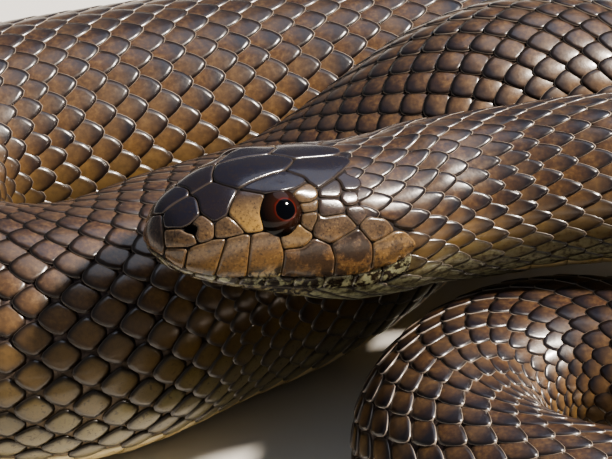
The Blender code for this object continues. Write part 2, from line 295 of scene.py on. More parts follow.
# In the nodes below, a MapRange takes its value, the range it comes from and the range it
# goes to as inputs 0 to 4. Noise scales are features in a millimetre.
def scale_keratin():
    """Smooth keratin of a mole snake's back: glossy as lacquer, ochre at the root and
    blue-black at the free end, with a thin pale edge that is partly a painted highlight
    where the free edge catches the light. The throat's scales are pale and mottled."""
    mat, tree, shader = finish("glossy_keratin_scales", 0.3, 0.22, 0.14)
    place = node(tree, "TexCoord", out="Object")
    tip, rim, flank, dull, dark, throat = (
        node(tree, "Attribute", out="Fac", attribute_name=name)
        for name in ("tip", "rim", "flank", "dull", "dark", "throat"))
    fine = node(tree, "TexNoise", {"Vector": place, "Scale": 1.6 / MM, "Detail": 6.0,
                                   "Roughness": 0.65})
    cloud = node(tree, "TexNoise", {"Vector": place, "Scale": 0.07 / MM, "Detail": 2.0})
    back = node(tree, "ValToRGB", {0: flank}, stops=[
        (0.0, "#31262a"), (0.25, "#483428"), (0.5, "#6a5035"), (0.72, "#7d673b"),
        (0.9, "#7f774a"), (1.0, "#8f885f")])
    ochre = node(tree, "ValToRGB", {0: fine}, stops=[
        (0.35, "#2a1c13"), (0.5, "#5f4324"), (0.68, "#8f6f40")])
    pale = node(tree, "ValToRGB", {0: fine}, stops=[
        (0.4, "#a3a588"), (0.52, "#7f8066"), (0.62, "#35362b")])
    hind = node(tree, "Math", {0: cloud, 1: 0.5, 2: tip}, operation="MULTIPLY_ADD")
    low = node(tree, "MapRange", {0: flank, 1: 0.55, 2: 0.85, 4: 0.75})
    free = node(tree, "Math", {0: tip, 1: dark}, operation="MULTIPLY")
    stain = node(tree, "MapRange", {0: hind, 1: 0.68, 2: 1.05, 4: dark})
    speck = node(tree, "MapRange", {0: fine, 1: 0.54, 2: 0.64, 4: low})
    # Dark border round each scale: partly the scale's own dark rim, partly painted shade in the
    # gaps where one scale overlaps the next.
    dark_rim_and_gap_shade = node(tree, "MapRange", {0: rim, 1: 0.42, 2: 0.85, 4: 0.88})
    # Pale free edge: partly the scale's own pale edge, partly a painted highlight where the edge
    # catches the light.
    pale_hem_and_glint = node(tree, "MapRange", {0: rim, 1: 0.93, 2: 0.985, 4: free})
    paint(tree, shader, back, [
        (0.35, ochre), (dull, "#5a4c3e"), (stain, "#1d1b23"), (throat, pale),
        (speck, "#2a251b"), (dark_rim_and_gap_shade, "#1c1616"), (pale_hem_and_glint, "#9a8d80")])
    grain = node(tree, "TexNoise", {"Vector": place, "Scale": 2.5 / MM, "Detail": 3.0})
    bump = node(tree, "Bump", {"Height": grain, "Strength": 0.12, "Distance": 0.1 * MM})
    tree.links.new(bump, shader.inputs["Normal"])
    rough = node(tree, "MapRange", {0: fine, 3: 0.22, 4: 0.42})
    tree.links.new(rough, shader.inputs["Roughness"])
    return mat


def belly_keratin():
    """Broad smooth belly plates: cream to yellow keratin with a polish from crawling."""
    mat, tree, shader = finish("polished_belly_keratin", 0.28, 0.3, 0.15)
    place = node(tree, "TexCoord", out="Object")
    rim, dull = (node(tree, "Attribute", out="Fac", attribute_name=name)
                 for name in ("rim", "dull"))
    cloud = node(tree, "TexNoise", {"Vector": place, "Scale": 0.35 / MM, "Detail": 5.0,
                                    "Roughness": 0.6})
    cream = node(tree, "ValToRGB", {0: cloud}, stops=[
        (0.3, "#b79f6a"), (0.5, "#d2bf8e"), (0.7, "#e1d4ad")])
    fleck = node(tree, "MapRange", {0: cloud, 1: 0.62, 2: 0.72, 4: 0.48})
    edge = node(tree, "MapRange", {0: rim, 1: 0.75, 2: 1.0})
    paint(tree, shader, cream, [(dull, "#b6a272"), (fleck, "#55503f"), (edge, "#8f8058")])
    rough = node(tree, "MapRange", {0: cloud, 3: 0.22, 4: 0.36})
    tree.links.new(rough, shader.inputs["Roughness"])
    return mat


def shield_keratin():
    """Head shields: thicker lacquered keratin, slate on the crown, tan and finely
    speckled on the face, greenish and mottled along the lower lip."""
    mat, tree, shader = finish("lacquered_head_shields", 0.2, 0.3, 0.08, 0.4)
    place = node(tree, "TexCoord", out="Object")
    rim, high, yellow, blot = (node(tree, "Attribute", out="Fac", attribute_name=name)
                               for name in ("rim", "high", "yellow", "blot"))
    fine = node(tree, "TexNoise", {"Vector": place, "Scale": 3.0 / MM, "Detail": 5.0,
                                   "Roughness": 0.7})
    mottle = node(tree, "TexNoise", {"Vector": place, "Scale": 1.1 / MM, "Detail": 3.0})
    broad = node(tree, "TexNoise", {"Vector": place, "Scale": 0.55 / MM, "Detail": 4.0})
    wave = node(tree, "Math", {0: broad, 1: 0.16, 2: high}, operation="MULTIPLY_ADD")
    tone = node(tree, "ValToRGB", {0: wave}, stops=[
        (0.13, "#8b8b6e"), (0.24, "#5a4328"), (0.42, "#60472e"), (0.6, "#463b36"),
        (0.76, "#272024"), (0.95, "#1b1a26")])
    face = node(tree, "MapRange", {0: high, 1: 0.7, 2: 0.5, 4: 0.25})
    jaw = node(tree, "MapRange", {0: high, 1: 0.25, 2: 0.18})
    specks = node(tree, "MapRange", {0: fine, 1: 0.555, 2: 0.62, 4: 0.8})
    light = node(tree, "MapRange", {0: fine, 1: 0.46, 2: 0.34, 4: face})
    check = node(tree, "MapRange", {0: mottle, 1: 0.45, 2: 0.53, 4: jaw})
    patch = node(tree, "MapRange", {0: broad, 1: 0.47, 2: 0.56, 4: blot})
    # Pale rim on each shield: partly its own pale edge, partly a painted highlight along the
    # seams.
    edge = node(tree, "MapRange", {0: rim, 1: 0.55, 2: 0.95, 4: 0.14})
    paint(tree, shader, tone, [
        (yellow, "#9c7c45"), (specks, "#2c2420"), (light, "#b39566"), (check, "#2c2519"),
        (patch, "#2b221d"), (edge, "#a3937c")])
    bump = node(tree, "Bump", {"Height": fine, "Strength": 0.16, "Distance": 0.1 * MM})
    tree.links.new(bump, shader.inputs["Normal"])
    rough = node(tree, "MapRange", {0: broad, 3: 0.15, 4: 0.3})
    tree.links.new(rough, shader.inputs["Roughness"])
    return mat


def soft_skin():
    """Soft skin between the scales: mauve and pale on the body, dark in the head's seams
    and painted near black as shade inside the nostrils and the mouth line."""
    mat, tree, shader = finish("soft_skin_between_scales", 0.75, specular=0.25)
    place = node(tree, "TexCoord", out="Object")
    headward, belly, hole_shade = (node(tree, "Attribute", out="Fac", attribute_name=name)
                            for name in ("headward", "belly", "hole_shade"))
    fine = node(tree, "TexNoise", {"Vector": place, "Scale": 0.9 / MM, "Detail": 5.0})
    mauve = node(tree, "ValToRGB", {0: fine}, stops=[
        (0.35, "#2b2323"), (0.5, "#4b3f3d"), (0.66, "#77695f")])
    # The last layer is painted shade: near black in the nostril holes and the mouth slit.
    paint(tree, shader, mauve, [(belly, "#a3906e"), (headward, "#1d1716"), (hole_shade, "#060505")])
    bump = node(tree, "Bump", {"Height": fine, "Strength": 0.3, "Distance": 0.2 * MM})
    tree.links.new(bump, shader.inputs["Normal"])
    return mat


def wet_eye():
    """The clear spectacle over the eye: wet, almost black, with a thin dark red ring."""
    mat, tree, shader = finish("clear_spectacle_over_iris", 0.06, specular=0.4, ior=1.38)
    place = node(tree, "TexCoord", out="Object")
    away = node(tree, "Attribute", out="Fac", attribute_name="away")
    noise = node(tree, "TexNoise", {"Vector": place, "Scale": 2.2 / MM, "Detail": 4.0})
    wave = node(tree, "Math", {0: noise, 1: 0.05, 2: away}, operation="MULTIPLY_ADD")
    tone = node(tree, "ValToRGB", {0: wave}, stops=[
        (0.0, "#04050a"), (0.36, "#05060a"), (0.385, "#482219"), (0.41, "#4a1711"),
        (0.44, "#32120d"), (0.475, "#2a1811"), (0.75, "#1c110d"), (0.9, "#0a0808")])
    tree.links.new(tone, shader.inputs["Base Color"])
    return mat


# ---------------------------------------------------------------- mesh helpers
def piece(name, points, faces, mat, measures, unwrap=None):
    """A shown piece from points in mm, arrays of equal-sided faces, its measures at each
    point and its unwrap."""
    mesh = bpy.data.meshes.new(name)
    counts = np.concatenate([np.full(len(f), f.shape[1]) for f in faces])
    flat = np.concatenate([f.ravel() for f in faces]).astype(np.int32)
    mesh.vertices.add(len(points))
    mesh.vertices.foreach_set("co", (np.asarray(points) * MM).ravel().astype(np.float32))
    mesh.loops.add(len(flat))
    mesh.loops.foreach_set("vertex_index", flat)
    mesh.polygons.add(len(counts))
    mesh.polygons.foreach_set("loop_start", np.r_[0, np.cumsum(counts)[:-1]].astype(np.int32))
    mesh.polygons.foreach_set("use_smooth", np.ones(len(counts), bool))
    mesh.update(calc_edges=True)
    for key, values in measures.items():
        layer = mesh.attributes.new(key, "FLOAT", "POINT")
        layer.data.foreach_set("value", np.asarray(values, np.float32))
    if unwrap is not None:
        layer = mesh.uv_layers.new(name="OFBake")
        layer.data.foreach_set("uv", np.asarray(unwrap, np.float32)[flat].ravel())
    mesh.materials.append(mat)
    obj = bpy.data.objects.new(name, mesh)
    bpy.context.scene.collection.objects.link(obj)
    mesh.validate()
    return obj


# ---------------------------------------------------------------- skin
LOWER_STEPS, UPPER_STEPS = 11, 25       # points from the throat to the lip and on to the crown
LIP_DEPTH, CHIN_DEPTH, NOSTRIL_DEPTH = 0.9, 0.25, 0.8


def skin_turns(s):
    """Angles round one side at each distance, from the throat to the crown, with three
    that lie together in the mouth line."""
    lip = mouth_turn(s)[:, None]
    low = np.linspace(0, 1, LOWER_STEPS + 1)[None]
    top = np.linspace(0, 1, UPPER_STEPS + 1)[None]
    slit = math.radians(0.9)
    half = math.pi / 2
    lower = -half + (lip - slit + half) * low
    upper = lip + slit + (half - lip - slit) * top
    return np.hstack([lower, lip, upper])


def build_skin(mat):
    """One closed surface from the snout to the tip of the tail."""
    # Rows of points lie close together on the head and wider apart on the body.
    s = np.r_[np.array([0.86, 0.95, 1.1, 1.3, 1.6, 1.9]) - LEAD, np.arange(1.1, SKULL, 0.3),
              np.arange(36.3, 60, 0.8), np.arange(60, LENGTH - 14, 2.0),
              np.arange(LENGTH - 14, LENGTH + 0.01, 1.0)]
    half = skin_turns(s)
    turns = np.hstack([half, math.pi - half[:, -2:0:-1]])
    rows, ring = turns.shape
    depth = SKIN_DEPTH_HEAD + (SKIN_DEPTH_BODY - SKIN_DEPTH_HEAD) * ease(24, 50, s)
    depth = np.minimum(depth, 0.4 * half_width(s))[:, None] * np.ones((1, ring))
    x = s + LEAD
    closed = ease(MOUTH_FRONT, 3.2, x) * (1 - ease(30.4, 32.2, x))
    lip = LOWER_STEPS + 1
    for column in (lip, ring - lip):
        depth[:, column] += LIP_DEPTH * closed
    jaw = np.r_[np.arange(0, lip + 1), np.arange(ring - lip, ring)]
    chin = np.exp(-((x - MOUTH_FRONT - 0.25) / 0.32) ** 2)
    depth[:, jaw] += CHIN_DEPTH * chin[:, None]
    nostril = np.zeros_like(depth)
    grid = outline(np.repeat(s[:, None], ring, 1), turns)
    for turn in (math.radians(NOSTRIL_AT[1]), math.pi - math.radians(NOSTRIL_AT[1])):
        spot = outline(np.array([NOSTRIL_AT[0] - LEAD]), np.array([turn]))[0]
        near = np.linalg.norm(grid - spot, axis=-1)
        nostril = np.maximum(nostril, 1 - ease(0.5, 0.95, near))
    depth += NOSTRIL_DEPTH * nostril
    points = on_body(s[:, None], turns, -depth)
    first = np.arange(rows - 1)[:, None] * ring
    j = np.arange(ring)
    n = (j + 1) % ring
    walls = np.stack([first + j, first + ring + j, first + ring + n, first + n], -1)
    count = rows * ring
    last = count - ring
    snout = np.stack([np.full(ring, count), j, n], 1)
    tail = np.stack([np.full(ring, count + 1), last + n, last + j], 1)
    faces = [walls.reshape(-1, 4), np.vstack([snout, tail])]
    points = np.vstack([points.reshape(-1, 3), points[0].mean(0), points[-1].mean(0)])
    fold = np.where(turns > math.pi / 2, math.pi - turns, turns)
    # The nostrils and the mouth slit are marked for painted shade, near black.
    slit = (np.abs(depth - LIP_DEPTH - 0.3) < 0.35) * closed[:, None]
    measures = {"headward": np.repeat((1 - ease(30, 40, s))[:, None], ring, 1),
                "belly": 0.35 * ease(0.2, 1.1, 0.9 - fold),
                "hole_shade": np.clip(nostril + slit, 0, 1)}
    measures = {key: np.r_[grid.ravel(), 0, 0] for key, grid in measures.items()}
    return piece("skin", points, faces, mat, measures)


# ---------------------------------------------------------------- slanting rows of the back
# One side of a scale: places along and across it, in shares of its length and half width.
SCALE_SIDE = ((0.0, 0.0), (0.03, 0.34), (0.16, 0.58), (0.32, 0.85), (0.47, 1.0), (0.63, 0.88),
              (0.81, 0.60), (0.95, 0.30), (1.0, 0.0))


def scale_pattern():
    """One scale: a six-cornered plate with rounded corners. Gives the places along and
    across, the rim and underside measures, and the faces. The rear end is free; a thin
    wall and a flat base close it."""
    side = np.array(SCALE_SIDE)
    edge = np.vstack([side, side[-2:0:-1] * (1, -1)])
    inner = (edge[::2] - (0.5, 0)) * (0.74, 0.68) + (0.5, 0)
    n, m = len(edge), len(inner)
    a = np.r_[edge[:, 0], inner[:, 0], 0.52, edge[:, 0]]
    b = np.r_[edge[:, 1], inner[:, 1], 0.0, edge[:, 1] * 0.97]
    rim = np.r_[np.ones(n), np.full(m, 0.55), 0.0, np.ones(n)]
    low = np.r_[np.zeros(n + m + 1), np.ones(n)]
    mid, base = n + m, n + m + 1
    top, wall = [], []
    for i in range(m):                  # e: outer points, c: inner points
        e0, e1, e2 = 2 * i, 2 * i + 1, (2 * i + 2) % n
        c0, c1 = n + i, n + (i + 1) % m
        top += [(e0, c0, e1), (e1, c0, c1), (e1, c1, e2), (c0, mid, c1)]
    for i in range(n):
        k = (i + 1) % n
        wall.append((i, k, base + k, base + i))
    floor = [tuple(range(base, base + n))]
    return a, b, rim, low, [np.array(top), np.array(wall), np.array(floor)]


MOST_ROWS = 21          # rows to each side that are tried; those past the flank are left out
THROAT_END = 46.0       # the rows go right round the throat up to here
TAIL_SPINE = 4.5        # bare horny tip of the tail
SCALE_BASE = -0.52      # height of a scale's underside


def pitch(s):
    """Distance between two scales of one row, mm."""
    return np.interp(s, (20, 45, 200, 400, 450, 520, 570, 640, 1000, 1186),
                     (4.2, 4.7, 4.6, 4.0, 3.5, 4.0, 4.2, 4.5, 4.0, 3.0))


def rows_round(s):
    """Number of slanting rows side by side on the back and flanks."""
    return np.interp(s, (0, 200, 400, 700, 1000, 1100, 1186), (29, 29, 31, 31, 21, 11, 6))


def shield_ends():
    """Where the hindmost shield ends at each turn of the left side; the rows begin there."""
    turn = np.radians(np.arange(-90, 91, 1.0))
    end = np.full(len(turn), 15.0)
    for _, ring, _ in shields():
        ring = np.array(ring)
        if ring[:, 1].mean() > math.pi / 2 + 0.01:
            continue
        for (s0, t0), (s1, t1) in zip(ring, np.roll(ring, -1, 0)):
            if t0 != t1:
                share = (turn - t0) / (t1 - t0)
                met = (share >= 0) & (share <= 1)
                end = np.where(met, np.maximum(end, s0 + share * (s1 - s0)), end)
    return turn, end


def scale_spots():
    """Distance from the snout, turn and width in degrees of every scale of the back, and
    of the throat."""
    s = np.arange(10, LENGTH, 0.05)
    phase = np.cumsum(0.05 / pitch(s))
    spots = []
    for row in range(-MOST_ROWS, MOST_ROWS + 1):
        half_step = 0.5 * (row % 2)
        for k in np.arange(half_step, phase[-1], 1.0):
            at = float(np.interp(k, phase, s))
            slot = DORSAL_ARC / float(rows_round(at))
            turn = 90 + row * slot
            fold = turn if turn <= 90 else 180 - turn
            if at < THROAT_END:
                if abs(row) * slot > 180 or at < np.interp(math.radians(fold), *NAPE) - 1.8:
                    continue
            elif abs(row) * slot > DORSAL_ARC / 2 + 0.2 * slot:
                continue
            if at > LENGTH - TAIL_SPINE:
                continue
            spots.append((at, turn, slot))
    return np.array(spots)


def lay_scales(spots):
    """Points, faces, measures and unwrap of a run of scales."""
    a, b, rim, low, faces = scale_pattern()
    at, turn, slot = spots.T
    girth = half_width(at)
    middle = np.radians(turn)
    gap = outline(at + 0.5, middle) - outline(at - 0.5, middle)
    stretch = np.linalg.norm(gap, axis=1)
    jitter = rng.normal(0, 1, (len(at), 4))
    length = (1.13 + 0.025 * jitter[:, 0]) * pitch(at) * (1 + 0.1 * ease(8, 16, girth))
    reach = (np.minimum(length, 1.75 * pitch(at) * stretch) / stretch)[:, None]
    wide = (np.radians(slot) * (0.93 + 0.015 * jitter[:, 1]))[:, None]
    s = np.clip(at[:, None] + (a - 0.35) * reach, 0, LENGTH - 0.2)
    skew = np.radians(0.5 * jitter[:, 2])[:, None] * (a - 0.4)
    t = middle[:, None] + b * wide + skew

    # A scale rises from its root to its free end, falls off at its rim and is a little
    # crowned. The first rows start pressed down under the head shields.
    size = np.clip(girth / 13, 0.35, 1.15)[:, None]
    fold = np.where(turn > 90, 180 - turn, turn)
    ceiling = np.where(fold < -30, -0.03, 0.09)[:, None]
    lift = -0.33 + 0.34 * a ** 0.8 - 0.10 * rim ** 3 + 0.05 * (1 - rim)
    lift = lift + 0.02 * jitter[:, 3][:, None] * a
    lift = np.minimum(np.where(low > 0, SCALE_BASE, lift) * size, ceiling)
    past = s - np.interp(np.where(t > math.pi / 2, math.pi - t, t), *NAPE)
    under_shields = np.minimum(lift, -0.4 + 0.42 * ease(-0.1, 0.9, past))
    points = on_body(s, t, np.where(past < 1.2, under_shields, lift))
    count = len(a)
    first = np.arange(len(at))[:, None, None] * count
    faces = [(first + f).reshape(-1, f.shape[1]) for f in faces]

    # What the finish needs: how far down the flank a scale lies, how dull and how dark it is.
    flank = np.clip((90 - fold) / (DORSAL_ARC / 2), 0, 1)
    flank = np.clip(flank - 0.3 * (1 - ease(30, 75, at)) * (1 - ease(0.45, 0.7, flank)), 0, 1)
    golden = np.exp(-((at - GOLDEN_AT) / 26) ** 2)
    flank = np.clip(flank + 0.13 * golden * ease(0.15, 0.4, flank), 0, 1)
    shade = 0.95 - 0.55 * ease(0.35, 0.95, flank) - 0.15 * ease(300, 500, at)
    shade = np.clip(shade + 0.12 * rng.normal(0, 1, len(at)), 0.1, 1) * (1 - 0.55 * golden)
    throat = 0.75 * (1 - ease(50, 120, at)) * ease(0.7, 0.95, flank)
    whole = {"flank": flank, "dull": 0.35 * rng.random(len(at)), "dark": shade, "throat": throat}
    measures = {key: np.repeat(value, count) for key, value in whole.items()}
    measures |= {"tip": np.tile(a, len(at)), "rim": np.tile(rim, len(at))}
    u = at[:, None] / (LENGTH + 20) + 0.004 + PATCH * (a - 0.5)
    v = (turn[:, None] + 90) / 380 + 0.02 + PATCH / 2 * b
    return points.reshape(-1, 3), faces, measures, np.stack([u, v], -1).reshape(-1, 2)


def lay_belly():
    """Broad plates across the belly, one to each scale of a row, and pairs under the tail."""
    across = np.linspace(-1, 1, 13)
    down = np.array([0.0, 0.35, 0.7, 0.93, 1.0])
    s = np.arange(40, LENGTH, 0.05)
    phase = np.cumsum(0.05 / pitch(s))
    points, faces, unwrap, marks, start = [], [], [], {"rim": [], "dull": []}, 0
    for k in np.arange(1.0, phase[-1] - 1.2):
        at = float(np.interp(k, phase, s))
        slot = DORSAL_ARC / float(rows_round(at))
        reach = 180 - DORSAL_ARC / 2 + 0.15 * slot
        size = min(1.0, half_width(at) / 12)
        dull = 0.3 * rng.random()
        lots = ((-0.5, 0.5, 0.97), (0.5, 0.5, 0.97)) if at > VENT else ((0, 1, 1),)
        for mid, part, share in lots:
            a, b = np.meshgrid(down, mid + part * share * across, indexing="ij")
            rim = np.maximum(np.abs((b - mid) / part) ** 10, ease(0.7, 1.0, a))
            lift = -0.34 + 0.30 * a - 0.14 * rim - 0.16 * ease(0.78, 0.92, np.abs(b))
            lift = np.maximum(lift, -0.45) * size
            s_plate = np.clip(at + (a - 0.3) * 1.28 * pitch(at), 0, LENGTH - 0.2)
            turn = np.radians(-90 + b * reach)
            points += [on_body(s_plate, turn, height).reshape(-1, 3)
                       for height in (lift, np.full_like(lift, -0.5 * size))]
            upper = start + np.arange(a.size).reshape(a.shape)
            quads = np.stack([upper[:-1, :-1], upper[1:, :-1], upper[1:, 1:], upper[:-1, 1:]], -1)
            quads = quads.reshape(-1, 4)
            edge = np.r_[upper[0, :-1], upper[:-1, -1], upper[-1, :0:-1], upper[:0:-1, 0]]
            onward = np.roll(edge, -1)
            wall = np.stack([edge, onward, onward + a.size, edge + a.size], -1)
            faces += [quads, quads[:, ::-1] + a.size, wall]
            marks["rim"].append(np.tile(rim.ravel(), 2))
            marks["dull"].append(np.full(2 * a.size, dull))
            u = at / (LENGTH + 20) + 0.004 + PATCH * (a - 0.5)
            v = 0.01 + PATCH / 2 * b + 0.004 * (mid + 1)
            unwrap.append(np.tile(np.stack([u.ravel(), v.ravel()], 1), (2, 1)))
            start += 2 * a.size
    marks = {key: np.concatenate(values) for key, values in marks.items()}
    return np.vstack(points), [np.vstack(faces)], marks, np.vstack(unwrap)


# ---------------------------------------------------------------- head shields
# Corners of the shields: distance from the snout and turn from the flank to the crown.
CORNER = dict(
    ro_t=(2.4, 90), ro_b=(2.2, 85), ro_c=(1.9, 58), ro_d=(1.8, 9), ro_e=(1.9, -24),
    in_m=(5.6, 90), in_r=(6.0, 87), in_s=(5.5, 61), in_t=(4.2, 49), in_u=(3.3, 45),
    pf_m=(8.6, 90), pf_f=(9.0, 85), pf_c=(10.3, 73), pf_d=(9.3, 64), pf_e=(8.6, 56),
    pf_g=(8.2, 48), pf_h=(6.6, 43), pf_i=(5.7, 59), pf_j=(5.9, 80),
    fr_a=(11.8, 76), fr_b=(13.2, 77.5), fr_c=(15.5, 80), fr_d=(16.8, 81), fr_e=(18.6, 88),
    fr_t=(19.0, 90), so_a=(18.7, 71), so_b=(18.6, 67), so_c=(16.9, 61), so_d=(15.0, 58),
    so_e=(12.9, 59.5), pa_a=(19.1, 64), pa_b=(19.6, 59), pa_c=(22.3, 68.5), pa_d=(24.0, 75),
    pa_e=(26.0, 83), pa_f=(25.7, 88), pa_m=(24.6, 90), pr_a=(8.9, 39), pr_b=(9.6, 30),
    pr_c=(10.0, 25), pr_d=(12.2, 25.5), lo_a=(7.8, 23), lo_b=(6.5, 24), na_a=(4.8, 19),
    na_b=(4.4, 33), na_c=(5.9, 21.3), pn_a=(4.0, 15), pn_b=(3.1, 14), l1_a=(3.8, 13),
    l1_b=(4.0, -25), l2_a=(7.4, 10), l2_b=(7.0, -17), l3_a=(10.6, 24), l3_c=(10.5, 8),
    l3_b=(10.6, -9), l4_a=(14.0, 23), l4_b=(14.6, 12), l4_c=(14.8, 8), l4_d=(14.7, -5),
    pl_a=(14.8, 10), pl_b=(17.1, 14), pl_c=(18.1, 21), pl_d=(18.0, 24), pl_e=(16.9, 28),
    l5_a=(19.1, 19), l5_b=(20.2, 16), l5_c=(20.9, 7), l5_d=(21.0, -4), l6_a=(21.9, 22),
    l6_b=(23.7, 28), l6_c=(25.4, 16), l6_d=(25.6, 8), l6_e=(25.6, -4), l7_a=(27.0, 19),
    l7_b=(28.5, 23), l7_c=(29.8, 21), l7_d=(31.4, 10), l7_e=(31.0, 4), l7_f=(29.8, 0),
    l7_g=(28.2, -2), p1_a=(19.3, 52), p1_b=(18.1, 48), p1_c=(17.2, 48), p2_a=(18.9, 41),
    p2_b=(17.0, 39), p3_a=(18.7, 34), p3_b=(18.1, 29), t1_a=(21.9, 51), t1_b=(22.5, 44),
    t1_c=(22.3, 39), t1_d=(19.2, 36), ta_a=(22.8, 66), ta_b=(22.7, 57), tb_a=(24.5, 70),
    tb_b=(25.6, 67), tb_c=(25.6, 60), tb_d=(24.5, 56), tc_a=(24.5, 48), tc_b=(24.0, 45),
    td_a=(25.0, 43), td_b=(25.1, 36), td_c=(23.9, 30), tf_a=(27.4, 33), tf_b=(28.3, 25),
    n1=(4.95, 44), n2=(4.7, 36.5), n3=(3.7, 35.5), n4=(3.4, 41), n5=(3.9, 47.5),
    e_t=(14.6, 58), e_a=(12.4, 52.5), e_b=(11.8, 42), e_c=(12.1, 31.5), e_d=(13.5, 26),
    e_e=(15.3, 26.5), e_f=(16.5, 32), e_g=(16.9, 39), e_h=(16.7, 47.5), e_i=(15.9, 55))

# Each shield: its corners in order, then how high it lies on the tone scale from throat
# to crown, how yellow it is and how blotched. The two of the mid-line are whole with
# their mirrored halves.
ONE = dict(
    rostral=("ro_t ro_b ro_c ro_d ro_e", 0.54, 0.0, 0.6),
    frontal=("pf_m pf_f pf_c fr_a fr_b fr_c fr_d fr_e fr_t", 0.86, 0.0, 0.2))
PAIR = dict(
    internasal=("ro_t in_m in_r pf_j in_s in_t n5 in_u ro_c ro_b", 0.84, 0.0, 0.3),
    prefrontal=("in_m pf_m pf_f pf_c pf_d pf_e pf_g pf_h pf_i in_s pf_j in_r", 0.78, 0.0, 0.2),
    supraocular=("pf_c fr_a fr_b fr_c fr_d so_a so_b so_c so_d so_e", 0.84, 0.0, 0.2),
    parietal=("fr_t pa_m pa_f pa_e pa_d pa_c pa_b pa_a so_b so_a fr_d fr_e", 0.84, 0.0, 0.3),
    preocular=("pf_c so_e e_a e_b e_c pr_d pr_c pr_b pr_a pf_g pf_e pf_d", 0.52, 0.75, 0.1),
    loreal=("pf_h pf_g pr_a pr_b pr_c lo_a lo_b", 0.5, 0.15, 0.4),
    hind_nasal=("pf_i pf_h lo_b na_c na_a na_b n2 n1 in_t in_s", 0.5, 0.1, 0.3),
    fore_nasal=("ro_c in_u n4 n3 na_b na_a pn_a pn_b ro_d", 0.45, 0.1, 0.3),
    labial_1=("ro_d pn_b l1_a l1_b ro_e", 0.42, 0.1, 0.2),
    labial_2=("l1_a na_a na_c lo_b lo_a l2_a l2_b l1_b", 0.4, 0.15, 0.2),
    labial_3=("lo_a pr_c l3_a l3_c l3_b l2_b l2_a", 0.4, 0.15, 0.2),
    labial_4=("l3_a pr_d e_d e_e l4_a l4_b l4_c l4_d l3_b l3_c", 0.38, 0.12, 0.1),
    labial_5=("l4_c l4_b pl_b pl_c l5_a l5_b l5_c l5_d l4_d", 0.38, 0.0, 0.7),
    labial_6=("l5_b l6_a l6_b l6_c l6_d l6_e l5_d l5_c", 0.38, 0.0, 0.8),
    labial_7=("l6_c l7_a l7_b l7_c l7_d l7_e l7_f l7_g l6_e l6_d", 0.36, 0.2, 0.5),
    low_postocular=("l4_a e_e e_f pl_e pl_d pl_c pl_b l4_b", 0.5, 0.3, 0.2),
    postocular_1=("so_c so_b pa_a pa_b p1_a p1_b p1_c e_h e_i", 0.62, 0.2, 0.2),
    postocular_2=("p1_c p1_b p1_a p2_a p2_b e_g e_h", 0.58, 0.2, 0.2),
    postocular_3=("p2_b p2_a p3_a p3_b pl_d pl_e e_f e_g", 0.54, 0.2, 0.3),
    temporal_1=("p1_a t1_a t1_b t1_c t1_d p2_a", 0.58, 0.0, 0.4),
    temporal_2=("t1_d t1_c l6_b l6_a l5_b l5_a pl_c pl_d p3_b p3_a p2_a", 0.5, 0.1, 0.4),
    temporal_3=("pa_b pa_c ta_a ta_b t1_a p1_a", 0.64, 0.0, 0.4),
    temporal_4=("pa_c pa_d tb_a tb_b tb_c tb_d ta_b ta_a", 0.7, 0.0, 0.4),
    temporal_5=("ta_b tb_d tc_a tc_b t1_b t1_a", 0.6, 0.0, 0.4),
    temporal_6=("t1_b tc_b td_a td_b td_c l6_b t1_c", 0.54, 0.0, 0.5),
    temporal_7=("td_c td_b tf_a tf_b l7_b l7_a l6_c l6_b", 0.5, 0.1, 0.4))
# Under the mouth line: where the lower labials part, the first one's own corners, the
# half of the mental shield between the first two, and where each chin shield begins and
# ends at the mid-line and at the labials.
LOWER_LIPS = (2.3, 5.2, 7.6, 10.2, 13.2, 16.6, 20.2, 23.8, 27.4, 31.0)
FIRST_LIP = ((6.4, -90), (5.3, -90), (5.0, -78), (4.2, -64), (1.95, -36))
MENTAL = ((1.2, -90), (1.35, -60), (1.95, -36), (4.2, -64), (5.0, -78), (5.3, -90))
CHIN = (((6.4, 5.2), (12.6, 11.2)), ((12.6, 11.2), (18.4, 19.6)))


def labial_edge(x):
    """Turn of the lower edge of the lower labials."""
    return mouth_turn(x - LEAD) - np.radians(np.interp(x, (12.0, 17.0), (23.0, 17.0)))


def shields():
    """Name, outline as (s, turn) corners, and tone of every shield."""
    made, left = [], []
    corner = {key: (x - LEAD, math.radians(turn)) for key, (x, turn) in CORNER.items()}
    for name, (keys, *tone) in ONE.items():
        near = [corner[key] for key in keys.split()]
        far = [(s, math.pi - t) for s, t in reversed(near) if t < math.pi / 2]
        made.append((name, near + far, tone))
    near = [(x - LEAD, math.radians(turn)) for x, turn in MENTAL]
    far = [(s, -math.pi - t) for s, t in near[-2:0:-1]]
    made.append(("mental", near + far, (0.08, 0.0, 0.5)))
    for name, (keys, *tone) in PAIR.items():
        left.append((name, [corner[key] for key in keys.split()], tone))
    for i, (a, b) in enumerate(zip(LOWER_LIPS[:-1], LOWER_LIPS[1:])):
        x = np.linspace(a, b, 4)
        ring = [*zip(x - LEAD, mouth_turn(x - LEAD) - 0.03)]
        if i:
            ring += [*zip(x - LEAD, labial_edge(x))][::-1]
        else:
            ring += [(b - LEAD, float(labial_edge(b)))]
            ring += [(place - LEAD, math.radians(turn)) for place, turn in FIRST_LIP]
        left.append((f"lower_labial_{i}", ring, (0.06, 0.0, 0.55)))
    for i, (a, b) in enumerate(CHIN):
        x = np.linspace(a[1], b[1], 6)
        ring = [(a[0] - LEAD, -math.pi / 2), *zip(x - LEAD, labial_edge(x)),
                (b[0] - LEAD, -math.pi / 2)]
        left.append((f"chin_shield_{i}", ring, (0.08, 0.15, 0.3)))
    for name, ring, tone in left:
        made.append((name + "_left", ring, tone))
        made.append((name + "_right", [(s, math.pi - t) for s, t in ring], tone))
    return made


